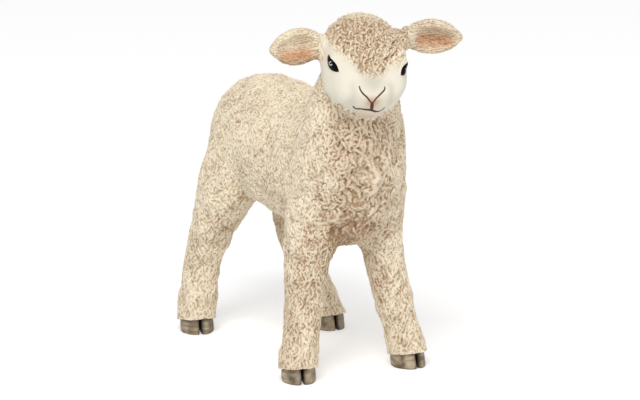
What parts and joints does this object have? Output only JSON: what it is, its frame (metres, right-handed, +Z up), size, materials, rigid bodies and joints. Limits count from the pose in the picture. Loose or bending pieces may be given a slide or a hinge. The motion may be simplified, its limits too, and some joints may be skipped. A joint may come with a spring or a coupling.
{
  "type": "toy lamb figure",
  "caption": "Standing toy lamb, head turned a little to its right, with sculpted curly wool, a smooth face, drooping ears and cloven hooves.",
  "frame": {"origin": "on the ground, under the middle of the figure's outline", "axes": "+Z up through the back, -Y the way the lamb faces, -X its own right side"},
  "size_m": [0.0248, 0.046, 0.0481],
  "materials": {
    "wool": "matt cream paint with a tan wash in the recesses",
    "face": "smooth satin off-white paint, pink tint on the nose",
    "ear": "matt tan paint, pink inside",
    "hoof": "satin taupe paint with a dark wash in the cleft",
    "eye": "gloss black"
  },
  "bodies": {
    "root": {"front_body": "wool", "rear_body": "wool", "front_right_leg": "wool", "front_left_leg": "wool", "hind_right_leg": "wool", "hind_left_leg": "wool", "tail": "wool", "head": "face", "right_ear": "ear", "left_ear": "ear", "front_right_hoof": "hoof", "front_left_hoof": "hoof", "hind_right_hoof": "hoof", "hind_left_hoof": "hoof", "right_eye": "eye", "left_eye": "eye"}
  },
  "joints": []
}
